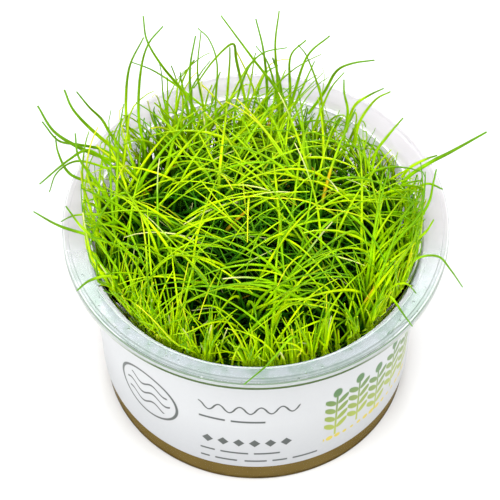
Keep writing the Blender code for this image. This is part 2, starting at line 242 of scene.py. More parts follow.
def turnProfile(name, profile, segments, materials, closed=False, reshape=None):
    bm = bmesh.new()
    rings = []
    for radius, z in profile:
        turns = 1 if radius < 1e-7 else segments
        ring = []
        for turn in range(turns):
            angle = 2.0 * math.pi * turn / segments
            reach = radius + (reshape(angle, radius, z) if reshape and turns > 1 else 0.0)
            ring.append(bm.verts.new((reach * math.sin(angle), -reach * math.cos(angle), z)))
        rings.append(ring)
    pairs = list(zip(rings, rings[1:])) + ([(rings[-1], rings[0])] if closed else [])
    for lower, upper in pairs:
        for turn in range(segments):
            after = (turn + 1) % segments
            corners = [lower[turn % len(lower)], lower[after % len(lower)],
                       upper[after % len(upper)], upper[turn % len(upper)]]
            corners = [corner for place, corner in enumerate(corners) if corner not in corners[:place]]
            bm.faces.new(corners)
    bmesh.ops.recalc_face_normals(bm, faces=bm.faces)
    mesh = bpy.data.meshes.new(name)
    bm.to_mesh(mesh)
    bm.free()
    mesh.shade_smooth()
    mesh.set_sharp_from_angle(angle=math.radians(38.0))
    for material in materials:
        mesh.materials.append(material)
    return linkObject(name, mesh)


def newMaterial(name, **plain):
    material = bpy.data.materials.new(name)
    material.use_nodes = True
    tree = material.node_tree
    shader = tree.nodes["Principled BSDF"]
    for label, value in plain.items():
        shader.inputs[label.replace("_", " ")].default_value = value
    return material, tree, shader


def mixColour(share, first, second, blend="MIX"):
    plugs = {"Factor": share, "A": first, "B": second}
    return field("ShaderNodeMix", plugs, "Result", data_type="RGBA", blend_type=blend)


def objectPlace(tree):
    return field("ShaderNodeTexCoord", output="Object", tree=tree)


def noiseValue(place, scale, detail=2.0, roughness=0.5):
    plugs = {"Vector": place, "Scale": scale, "Detail": detail, "Roughness": roughness}
    return field("ShaderNodeTexNoise", plugs, "Fac")


def band(value, centre, half, soft=0.12):
    return spread(abs(value - centre), half - soft, half + soft, 1.0, 0.0)


def disc(across, up, wide, tall, soft=0.12):
    wide, tall = across / wide, up / tall
    return spread(calc("SQRT", wide * wide + tall * tall), 1.0 - soft, 1.0 + soft, 1.0, 0.0)


def addBump(shader, height, distance, strength=1.0):
    plugs = {"Height": height, "Distance": distance, "Strength": strength}
    link(field("ShaderNodeBump", plugs, "Normal"), shader.inputs["Normal"])


# Camera at the photo's angle: it looks down over the rim from the front

view = {
    "target": (-1.5 * mm, 0.0, 48.3 * mm),
    "distance": 655.0 * mm,
    "elevation": 54.0,
    "lens": 180.0,
    "sensor": 36.0,
}


def placeCamera():
    camera = bpy.data.cameras.new("camera")
    camera.lens = view["lens"]
    camera.sensor_width = view["sensor"]
    camera.clip_start = 0.01
    thing = linkObject("camera", camera)
    tilt = math.radians(view["elevation"])
    back = Vector((0.0, -math.cos(tilt), math.sin(tilt))) * view["distance"]
    thing.location = Vector(view["target"]) + back
    thing.rotation_euler = (math.pi / 2.0 - tilt, 0.0, 0.0)
    bpy.context.scene.camera = thing


placeCamera()


# Cup

cup = {
    "segments": 160,
    "cornerSteps": 8,
    "baseRounding": 0.8 * mm,
    "innerBaseRounding": 0.5 * mm,
    "paintedGelHeight": 0.9 * mm,
    "hazeShadeStart": -20.0 * mm,  # how far back the haze and its painted shade start to take in the rounding of the mouth
    "thinEnd": 45.0 * mm,  # the mouth is drawn thin as far out as this
    "stepRadius": 48.3 * mm,  # the flange drops a little here, short of its edge
    "stepDrop": 0.15 * mm,
    "rimRounding": 0.5 * mm,
    "lipDepth": 2.7 * mm,
    "cutHeight": 0.88 * mm,
    "cutStart": -6.0 * mm,  # how far forward the cut edge starts to look dark
    "glintReach": 45.35 * mm,
    "bendShadeReaches": (48.4 * mm, 49.2 * mm),
    "bendShadeDrop": 0.42 * mm,
    "wall": (0.97, 0.975, 0.98, 1.0),
    "clear": (0.77, 0.775, 0.785, 1.0),
    "wet": (0.88, 0.96, 0.99, 1.0),
    "smeared": (0.64, 0.82, 0.73, 1.0),
    "hazyShade": (0.67, 0.645, 0.675, 1.0),  # at the sides and the back: haze, partly painted shade that greys the ring
    "milky": (0.52, 0.56, 0.545, 1.0),
    # painted: the gel as seen through the clear base
    "paintedGel": (0.15, 0.1, 0.028, 1.0),
    "glint": (0.7, 0.74, 0.75, 1.0),  # along the mouth at the front
    "line": (0.25, 0.37, 0.24, 1.0),  # painted shade: dark lines where the flange bends
    # the cut edge's painted colours: pale, and along the front a painted reflection of the leaves' green,
    # darkened as painted shade
    "pale": (0.6, 0.64, 0.6, 1.0),
    "cut": (0.06, 0.105, 0.025, 1.0),
}


def makeClearPlastic():
    # Thin clear sheet: dried smears and small drops on the front of the flange, haze on the rest of it. The
    # haze is partly painted shade that greys the ring at the sides and back; at the front a painted glint
    # runs along the mouth and painted shade lines run where the flange bends
    material, tree, shader = newMaterial("clearPlastic", IOR=1.45, Specular_Tint=(0.12, 0.12, 0.12, 1.0))
    place = objectPlace(tree)
    x, y, z = splitXyz(place)
    front = ease(y, 4.0 * mm, -28.0 * mm)
    front *= spread(z, rimHeight - 1.5 * mm, rimHeight - 0.2 * mm)
    smears = spread(noiseValue(place, 190.0, 4.0, 0.6), 0.43, 0.58)
    tint = mixColour(front, cup["clear"], mixColour(smears, cup["wet"], cup["smeared"]))
    flange = spread(z, rimHeight - 1.4 * mm, rimHeight - 0.8 * mm)
    # Haze and painted shade: the ring is greyed and less clear at the sides and back
    hazeShade = ease(y, -22.0 * mm, 4.0 * mm)
    tint = mixColour(flange, cup["wall"], mixColour(hazeShade, tint, cup["hazyShade"]))
    reach = aim("LENGTH", joinXyz(x, y, 0.0))
    glint = band(reach, cup["glintReach"], 0.16 * mm, 0.12 * mm) * front
    tint = mixColour(glint, tint, cup["glint"])
    # Painted shade: fine dark lines where the flange bends at the front
    lines = anyOf(*[band(reach, bendShadeReach, 0.15 * mm, 0.1 * mm) for bendShadeReach in cup["bendShadeReaches"]])
    tint = mixColour(lines * front * 0.6, tint, cup["line"])
    link(tint, shader.inputs["Base Color"])
    dull = anyOf(flange * hazeShade, glint)
    link(spread(dull, 0.0, 1.0, 1.0, 0.4), shader.inputs["Transmission Weight"])
    rough = spread(noiseValue(place, 240.0, 3.0), 0.45, 0.75, 0.03, 0.16)
    link(rough, shader.inputs["Roughness"])
    drops = field("ShaderNodeTexVoronoi", {"Vector": place, "Scale": 700.0}, output="Distance")
    flat = spread(reach, 45.2 * mm, 46.0 * mm)
    drops = ease(drops, 0.12, 0.26, 1.0, 0.0) * front * flat
    drops *= spread(noiseValue(place, 420.0, 0.0), 0.5, 0.6)
    addBump(shader, drops, 0.25 * mm, 0.9)
    return material


def makeThinPlastic():
    # The wall is drawn so thin that it hardly turns the light
    return newMaterial("clearPlasticWall", Transmission_Weight=1.0, IOR=1.02, Roughness=0.03,
                       Specular_Tint=(0.12, 0.12, 0.12, 1.0), Base_Color=cup["wall"])[0]


def makeCutEdge():
    # Painted reflection and shade: along the front the sheet's cut edge is coloured with the dark green of
    # the leaves that it gathers
    material, tree, shader = newMaterial("plasticCutEdge", Roughness=0.5, Specular_IOR_Level=0.15)
    y = splitXyz(objectPlace(tree))[1]
    front = spread(y, -34.0 * mm, -44.0 * mm, 0.22, 1.0)
    link(mixColour(front, cup["pale"], cup["cut"]), shader.inputs["Base Color"])
    return material


def makeMilkyEdge():
    # Round its rim the sheet is a little milky, with a fine dark line of painted shade under the bend at the
    # front
    material, tree, shader = newMaterial("plasticMilkyEdge", Transmission_Weight=0.45, IOR=1.45,
                                         Roughness=0.25, Specular_Tint=(0.3, 0.3, 0.3, 1.0))
    y, z = splitXyz(objectPlace(tree))[1:]
    line = band(z, rimHeight - cup["bendShadeDrop"], 0.17 * mm, 0.08 * mm)
    line *= spread(y, cup["cutStart"], -30.0 * mm)
    link(mixColour(line, cup["milky"], cup["line"]), shader.inputs["Base Color"])
    return material


def makeStainedEdge():
    # Painted: round its base the sheet is opaque in the colour of the gel that lies behind it, in place of
    # the light that comes through from the gel
    return newMaterial("plasticPaintedGelEdge", Roughness=0.5, Specular_IOR_Level=0.1,
                       Base_Color=cup["paintedGel"])[0]


def makeCup():
    thick = wall["thickness"]
    steps = cup["cornerSteps"]
    top, low = rimHeight, rimHeight - cup["stepDrop"]
    mouth = (innerRadius(mouthHeight) + wall["mouthRounding"], mouthHeight)
    inner = cup["innerBaseRounding"]
    outer = cup["baseRounding"]
    rim = cup["rimRounding"]
    lipFoot = top - cup["lipDepth"]
    cutTop = lipFoot + cup["cutHeight"]
    lipInside = rimRadius - thick
    profile = [(0.0, thick)]
    profile += arcPoints((innerRadius(thick) - inner, thick + inner), inner, -90, 0, steps)
    profile += arcPoints(mouth, wall["mouthRounding"], 180, 90, steps)
    profile += [(cup["thinEnd"], top), (cup["stepRadius"], top), (cup["stepRadius"] + cup["stepDrop"], low)]
    profile += arcPoints((rimRadius - rim, low - rim), rim, 90, 0, steps // 2)
    profile += [(rimRadius, cutTop), (rimRadius, lipFoot), (lipInside, lipFoot), (lipInside, cutTop)]
    profile += [(lipInside, low - thick), (cup["stepRadius"] - 0.3 * mm, low - thick)]
    profile += [(cup["stepRadius"] - 0.6 * mm, top - thick), (cup["thinEnd"], top - thick)]
    profile += arcPoints(mouth, wall["mouthRounding"] - thick, 90, 180, steps)
    profile += [(wallRadius(cup["paintedGelHeight"]), cup["paintedGelHeight"])]
    profile += arcPoints((wallRadius(outer) - outer, outer), outer, 0, -90, steps)
    profile += [(0.0, 0.0)]
    sheets = [makeClearPlastic(), makeCutEdge(), makeMilkyEdge(), makeStainedEdge(), makeThinPlastic()]
    piece = turnProfile("clearCup", profile, cup["segments"], sheets)
    for face in piece.data.polygons:
        z = face.center.z
        reach = math.hypot(face.center.x, face.center.y)
        if lipFoot < z < cutTop and reach > rimRadius - 0.1 * mm and face.center.y < cup["cutStart"]:
            face.material_index = 1
        if z < cup["paintedGelHeight"] and face.normal.z < -0.01:
            face.material_index = 3
        if z > cutTop and reach > rimRadius - 0.6 * rim:
            face.material_index = 2
        hazeShaded = face.center.y > cup["hazeShadeStart"] and z > rimHeight - 1.6 * mm
        if z > cup["paintedGelHeight"] and reach < cup["thinEnd"] and not hazeShaded:
            face.material_index = 4
    return finishPiece(piece, "cup")


makeCup()
print("cup made")


# Paper sleeve, with a plain ring of waves, ruled lines and a row of round-leaved sprigs printed on it

sleeve = {
    "segments": 240,
    "gap": 0.3 * mm,
    "thickness": 0.3 * mm,
    "overlapStart": 180.0,  # degrees from the front, where the paper's end lies over its start
    "overlapEnd": 196.0,
    "overlapRise": 0.18 * mm,
    "paper": (0.555, 0.566, 0.577, 1.0),
    "shaded": (0.42, 0.432, 0.45, 1.0),
    "fibre": (0.52, 0.53, 0.54, 1.0),
    "ink": (0.045, 0.055, 0.05, 1.0),
    "millimetresRound": 42.5,  # of paper for each radian
}
ring = {"across": -31.0, "up": 28.5, "radius": 9.6, "line": 0.42, "waves": (-4.2, 0.0, 4.2), "swell": 1.2}
dashes = [  # from, to, height, half thickness: millimetres from the front's middle and above the base
    (-15.0, -8.0, 31.2, 0.45), (-6.5, 2.5, 31.2, 0.45),
    (-15.0, -11.0, 14.9, 0.4), (-9.5, -2.0, 14.9, 0.4), (-0.5, 6.5, 14.9, 0.4),
    (-15.0, -12.5, 11.0, 0.4), (-11.0, -5.0, 11.0, 0.4), (-3.0, 3.0, 11.0, 0.4), (4.5, 8.5, 11.0, 0.4),
    (10.0, 17.0, 11.0, 0.4),
]
ripple = {"from": -15.0, "to": 11.5, "up": 37.0, "swell": 1.6, "pace": 1.15, "line": 0.32}
lozenges = {"from": -15.0, "pitch": 4.2, "count": 6, "up": 20.3, "wide": 1.55, "tall": 1.9}
sprigs = {"start": 18.5, "pitch": 7.0, "count": 5, "foot": 16.0, "leafLength": 2.8, "leafWidth": 1.35,
          "pairs": (5.0, 9.0, 13.0, 17.0), "top": 21.0, "stem": 0.3, "pebble": 2.4,
          "young": (0.38, 0.44, 0.01, 1.0), "grown": (0.04, 0.15, 0.02, 1.0),
          "ground": (0.6, 0.48, 0.02, 1.0)}


def makeSleevePaper():
    material, tree, shader = newMaterial("sleevePaper", Roughness=0.38)
    place = objectPlace(tree)
    x, y, z = splitXyz(place)
    turn = calc("ARCTAN2", x, y * -1.0)
    across = turn * sleeve["millimetresRound"]
    up = z / mm

    ringAcross = across - ring["across"]
    ringUp = up - ring["up"]
    reach = aim("LENGTH", joinXyz(ringAcross, ringUp, 0.0))
    ink = band(reach, ring["radius"], ring["line"])
    inside = spread(reach, ring["radius"] - 2.2, ring["radius"] - 2.0, 1.0, 0.0)
    swell = calc("SINE", ringAcross * 0.8) * ring["swell"]
    for height in ring["waves"]:
        ink = anyOf(ink, inside * band(ringUp - swell, height, ring["line"]))
    for first, last, height, half in dashes:
        row = band(up, height, half) * band(across, (first + last) / 2.0, (last - first) / 2.0)
        ink = anyOf(ink, row)
    swell = calc("SINE", across * ripple["pace"]) * ripple["swell"]
    middle, half = (ripple["from"] + ripple["to"]) / 2.0, (ripple["to"] - ripple["from"]) / 2.0
    slope = spread(abs(swell), 0.0, ripple["swell"], 2.0, 1.0)
    thickness = slope * ripple["line"]
    away = abs(up - ripple["up"] - swell)
    ink = anyOf(ink, spread(away - thickness, -0.1, 0.1, 1.0, 0.0) * band(across, middle, half))
    cell = (across - lozenges["from"]) / lozenges["pitch"]
    local = (calc("FRACT", cell) - 0.5) * lozenges["pitch"]
    rhomb = abs(local) / lozenges["wide"] + abs(up - lozenges["up"]) / lozenges["tall"]
    half = lozenges["pitch"] * lozenges["count"] / 2.0
    ink = anyOf(ink, spread(rhomb, 0.92, 1.05, 1.0, 0.0) * band(across, lozenges["from"] + half, half))

    cell = (across - sprigs["start"]) / sprigs["pitch"]
    number = calc("FLOOR", cell)
    local = (calc("FRACT", cell) - 0.5) * sprigs["pitch"]
    side = abs(local)
    lift = calc("SINE", number * 2.4) * 1.5
    rise = up - sprigs["foot"] - lift
    plant = band(local, 0.0, sprigs["stem"]) * band(rise, sprigs["top"] / 2.0, sprigs["top"] / 2.0)
    for height in sprigs["pairs"]:
        leafAcross = side - 1.9
        leafUp = rise - height - leafAcross * 0.7
        plant = anyOf(plant, disc(leafAcross, leafUp, sprigs["leafLength"] * 0.62, sprigs["leafWidth"]))
    plant = anyOf(plant, disc(local, rise - sprigs["top"], sprigs["leafWidth"], sprigs["leafLength"] * 0.75))
    half = sprigs["pitch"] * sprigs["count"] / 2.0
    within = band(across, sprigs["start"] + half, half)
    plant = plant * within

    pebbleCell = across / sprigs["pebble"]
    pebbleAcross = calc("FRACT", pebbleCell) - 0.5
    pebbleSize = 0.34 + calc("SINE", calc("FLOOR", pebbleCell)) * 0.1
    pebbleUp = (up - (sprigs["foot"] - 0.9)) / sprigs["pebble"]
    pebbleReach = aim("LENGTH", joinXyz(pebbleAcross, pebbleUp, 0.0))
    pebbles = spread(pebbleReach - pebbleSize, -0.03, 0.03, 1.0, 0.0) * within

    growth = spread(rise, 0.0, sprigs["top"])
    green = mixColour(growth, sprigs["young"], sprigs["grown"])
    fibres = noiseValue(place, 900.0, 3.0)
    paper = mixColour(spread(up, 30.0, 6.0), sleeve["paper"], sleeve["shaded"])
    paper = mixColour(spread(fibres, 0.3, 0.7, 0.0, 0.3), paper, sleeve["fibre"])
    colour = mixColour(ink, paper, sleeve["ink"])
    colour = mixColour(pebbles, colour, sprigs["ground"])
    colour = mixColour(plant, colour, green)
    link(colour, shader.inputs["Base Color"])
    addBump(shader, fibres, 0.02 * mm, 0.3)
    return material


def makeSleeveInside():
    # Some light comes through the paper, which brightens its inner face
    return newMaterial("sleeveInside", Base_Color=(0.95, 0.95, 0.96, 1.0), Roughness=0.6,
                       Subsurface_Weight=1.0, Subsurface_Radius=(1.0, 1.0, 1.0), Subsurface_Scale=1.0 * mm)[0]


def sleeveRise(angle, radius, z):
    degrees = math.degrees(angle)
    inner = wallRadius(z) + sleeve["gap"] + sleeve["thickness"] / 2.0
    if radius < inner or not sleeve["overlapStart"] <= degrees <= sleeve["overlapEnd"]:
        return 0.0
    ramp = min((degrees - sleeve["overlapStart"]) / 4.0, 1.0)
    return sleeve["overlapRise"] * ramp


def makeSleeve():
    profile = []
    for z, share in ((sleeveFoot, 0.0), (sleeveHead, 0.0), (sleeveHead, 1.0), (sleeveFoot, 1.0)):
        profile.append((wallRadius(z) + sleeve["gap"] + sleeve["thickness"] * share, z))
    papers = [makeSleevePaper(), makeSleeveInside()]
    piece = turnProfile("paperSleeve", profile, sleeve["segments"], papers, closed=True, reshape=sleeveRise)
    for face in piece.data.polygons:
        if face.normal.xy.dot(face.center.xy) < 0.0 and abs(face.normal.z) < 0.5:
            face.material_index = 1
    return finishPiece(piece, "label")


makeSleeve()
print("sleeve made")


# Nutrient gel, which shows below the sleeve

gel = {"segments": 160, "press": 0.45 * mm,  # the gel wets the wall, so it is drawn a little way into it
       "colour": (0.16, 0.108, 0.031, 1.0), "pale": (0.2, 0.14, 0.044, 1.0)}


def makeGel():
    material, tree, shader = newMaterial("nutrientGel", Roughness=0.5, IOR=1.34, Specular_IOR_Level=0.0)
    place = objectPlace(tree)
    cloud = spread(noiseValue(place, 70.0, 3.0), 0.35, 0.7, 0.0, 0.6)
    link(mixColour(cloud, gel["colour"], gel["pale"]), shader.inputs["Base Color"])
    addBump(shader, noiseValue(place, 140.0, 2.0), 0.2 * mm, 0.5)
    rounding, foot = cup["innerBaseRounding"], wall["thickness"] - gel["press"]
    corner = (innerRadius(foot) + gel["press"] - rounding, foot + rounding)
    profile = [(0.0, foot)] + arcPoints(corner, rounding, -90, 0, 6)
    profile += [(innerRadius(gelTop) + gel["press"], gelTop), (0.0, gelTop)]
    return finishPiece(turnProfile("gelDisc", profile, gel["segments"], [material]), "gel")


makeGel()
print("gel made")


# Grass

grass = {
    "crownHeight": 77.0 * mm,  # top of the mat in the middle
    "edgeDrop": 17.0 * mm,  # how much lower it is at the wall
    "backDrop": 6.0 * mm,  # and how much it sinks towards the back
    "backStart": 6.0 * mm,
    "backEnd": 40.0 * mm,
    "frontDrop": 4.0 * mm,
    "frontStart": -14.0 * mm,
    "frontEnd": -38.0 * mm,
    "standing": 63.0 * mm,  # leaves that rise above this and clear of the mat look darker
    # deep and shade: painted shade for points deep below the mat's top
    "deep": (0.006, 0.05, 0.001, 1.0),
    "shade": (0.032, 0.2, 0.001, 1.0),
    "fresh": (0.29, 0.65, 0.0, 1.0),
    "bright": (0.74, 1.0, 0.0, 1.0),
    "clear": (0.12, 0.29, 0.0, 1.0),  # leaves that stand clear of the mat
    "dark": (0.1, 0.3, 0.003, 1.0),  # towards the tips of some
    "straw": (0.85, 0.8, 0.36, 1.0),
    "yellow": (0.83, 0.82, 0.02, 1.0),
    "rust": (0.72, 0.38, 0.01, 1.0),
    "rustStart": 0.97,  # leaves whose draw is above this have a rusty spot
    "rustPlace": 0.62,
    "old": [  # least and greatest draw, where along the leaf the colour starts and is full, colour
        (0.0, 0.004, 0.55, 0.7, "straw"), (0.004, 0.035, 0.82, 0.96, "straw"),
        (0.035, 0.1, 0.6, 1.0, "yellow"),
    ],
}


def makeHairgrass():
    # Painted shade: colour darkens by how deep a point lies below the mat's own top, then goes by leaf
    material, tree, shader = newMaterial("hairgrass", Roughness=0.45, Specular_IOR_Level=0.1)
    place = objectPlace(tree)
    x, y, height = splitXyz(place)
    tone, along, kind = [field("ShaderNodeAttribute", output="Fac", tree=tree, attribute_name=name)
                         for name in ("tone", "along", "kind")]
    reach = aim("LENGTH", joinXyz(x, y, 0.0)) / innerRadius(mouthHeight)
    fall = reach * reach * grass["edgeDrop"]
    back = ease(y, grass["backStart"], grass["backEnd"], 0.0, grass["backDrop"])
    front = ease(y, grass["frontStart"], grass["frontEnd"], 0.0, grass["frontDrop"])
    top = grass["crownHeight"] - (fall + back + front)
    # Painted light: leaves at the front wall below the rim are made brighter and less shaded, for the light
    # that comes in through the clear wall
    edge = spread(reach, 0.92, 0.96) * spread(y, -8.0 * mm, -20.0 * mm)
    edge *= spread(height, rimHeight - 1.0 * mm, rimHeight + 1.0 * mm, 1.0, 0.0)
    depth = (top - height) * spread(edge, 0.0, 1.0, 1.0, 0.3)
    leafColour = mixColour(anyOf(tone, edge * 0.6), grass["fresh"], grass["bright"])
    colour = mixColour(ease(depth, 0.0, 9.0 * mm), leafColour, grass["shade"])
    colour = mixColour(ease(depth, 7.0 * mm, 17.0 * mm), colour, grass["deep"])
    risen = height - calc("MAXIMUM", top, grass["standing"])
    beyond = spread(reach, 1.02, 1.12)
    behind = ease(y, 6.0 * mm, 34.0 * mm, 0.0, 0.4)
    free = anyOf(spread(risen, 1.0 * mm, 15.0 * mm, 0.0, 0.92), beyond, behind)
    colour = mixColour(free, colour, grass["clear"])
    streak = spread(noiseValue(place, 350.0, 2.0), 0.35, 0.65, 0.8, 1.12)
    colour = mixColour(1.0, colour, joinXyz(streak, streak, streak), "MULTIPLY")
    end = spread(along, 0.7, 1.0)
    darkEnd = end * spread(tone, 0.1, 0.6, 0.9, 0.2)
    colour = mixColour(darkEnd, colour, grass["dark"])
    up = spread(depth, 22.0 * mm, 8.0 * mm)
    for least, most, first, last, old in grass["old"]:
        picked = (kind > least) * (kind < most) * spread(along, first, last, 0.0, 0.85) * up
        colour = mixColour(picked, colour, grass[old])
    spot = spread(abs(along - grass["rustPlace"]), 0.05, 0.09, 0.8, 0.0)
    colour = mixColour((kind > grass["rustStart"]) * spot * up, colour, grass["rust"])
    link(colour, shader.inputs["Base Color"])
    return material


hairgrass = makeHairgrass()


def makeBladeTree():
    # Skins curves as round leaves that thin out at the tip, and marks how far along its leaf each point is
    tree, given, result = newTree("leafBlade", {
        "Geometry": "Geometry", "Sides": 4, "Width": 0.8 * mm, "Tip Start": 0.55, "Tip Width": 0.25,
        "Material": "Material",
    })
    along = field("GeometryNodeSplineParameter", output="Factor", tree=tree)
    marked = store(given["Geometry"], "along", along)
    radius = given["Width"] * 0.5 * spread(along, given["Tip Start"], 1.0, 1.0, given["Tip Width"])
    shaped = field("GeometryNodeSetCurveRadius", {"Curve": marked, "Radius": radius})
    outline = field("GeometryNodeCurvePrimitiveCircle", {"Resolution": given["Sides"], "Radius": 1.0})
    plugs = {"Curve": shaped, "Profile Curve": outline, "Fill Caps": True}
    skin = addNode("GeometryNodeCurveToMesh", plugs)
    if "Scale" in skin.inputs:  # where newer versions take the curve's radius from
        link(field("GeometryNodeInputRadius", tree=tree), skin.inputs["Scale"])
    smooth = field("GeometryNodeSetShadeSmooth", {"Geometry": skin.outputs[0]})
    link(field("GeometryNodeSetMaterial", {"Geometry": smooth, "Material": given["Material"]}), result)
    return tree


bladeTree = makeBladeTree()

hollows = {  # dark gaps between the bundles of leaves: place on the mat's top and radius, in millimetres
    "slant": (0.0, 0.45, -0.893),
    "depth": 14.0 * mm,
    "places": [
        (5, -33, 64, 2.2), (11.5, -22, 69, 2.4), (14.5, -31, 63.5, 2.2), (3, -23, 69.5, 2.0),
        (18.5, -13, 70, 2.2), (24, -23, 64, 2.8), (-20, -2, 71, 2.8), (-6.5, -8.5, 74, 2.4),
        (-4.5, -31, 65.5, 2.0), (33, -3.5, 64, 2.6), (-1, 17, 67.5, 2.6), (-16, -34.5, 60.5, 2.2),
        (-22, -22, 66, 2.6), (-31.5, -15, 63, 2.8), (23, 12, 66.5, 2.4), (-27.5, 16, 62, 2.2),
        (19, -33, 60.5, 2.0),
    ],
}
clearings = {  # stretches of the flange that stay bare or nearly bare at the back: degrees from the right
    "slant": (0.05, 0.61, -0.79), "radius": 3.8 * mm, "reach": 47.2 * mm, "angles": (28, 37, 46, 55, 62),
    "share": 0.93, "thinAngles": (87, 94, 101, 108), "thinShare": 0.65,
}
crushing = {"push": 1.5 * mm, "front": -0.35, "share": 0.93}  # leaves that the wall pushes in at the front

bed = {  # what a layer has unless it says otherwise: lengths in millimetres, least and most in pairs
    "Leaves": 1000, "Seed": 1, "Leaves Per Tuft": 6, "Tuft Spread": 1.6, "Bed Radius": 40.5,
    "Bed Start": 0.0, "Turn": (0.0, 2.0 * math.pi), "Root": (24.0, 32.0), "Length": (24.0, 38.0),
    "Width": (0.7, 1.0), "Lean": (0.0, 0.35), "Bend": (0.2, 1.4), "Bend Late": 1.6, "Outward": 0.0,
    "Fan": 1.2, "Swing": 0.5, "Wander": 0.04, "Tip Start": 0.5, "Tip Width": 0.3, "Hollow Share": 0.0,
    "Front Share": 1.0, "Back": (10.0, 40.0), "Back Share": 1.0, "Back Drop": 0.0, "Back Shorten": 0.0,
    "Overhang": 1.4, "Front Overhang": 1.4, "Segments": 12, "Sides": 4,
}
inMillimetres = ("Tuft Spread", "Bed Radius", "Root", "Length", "Width", "Back", "Back Drop", "Overhang",
                 "Front Overhang")


def bedInputs(values):
    # Pairs become two inputs of the tree, and lengths become metres
    inputs = {}
    for name, value in values.items():
        unit = mm if name in inMillimetres else 1
        if isinstance(value, tuple):
            inputs[name + " From"], inputs[name + " To"] = [end * unit for end in value]
        else:
            inputs[name] = value * unit
    return inputs


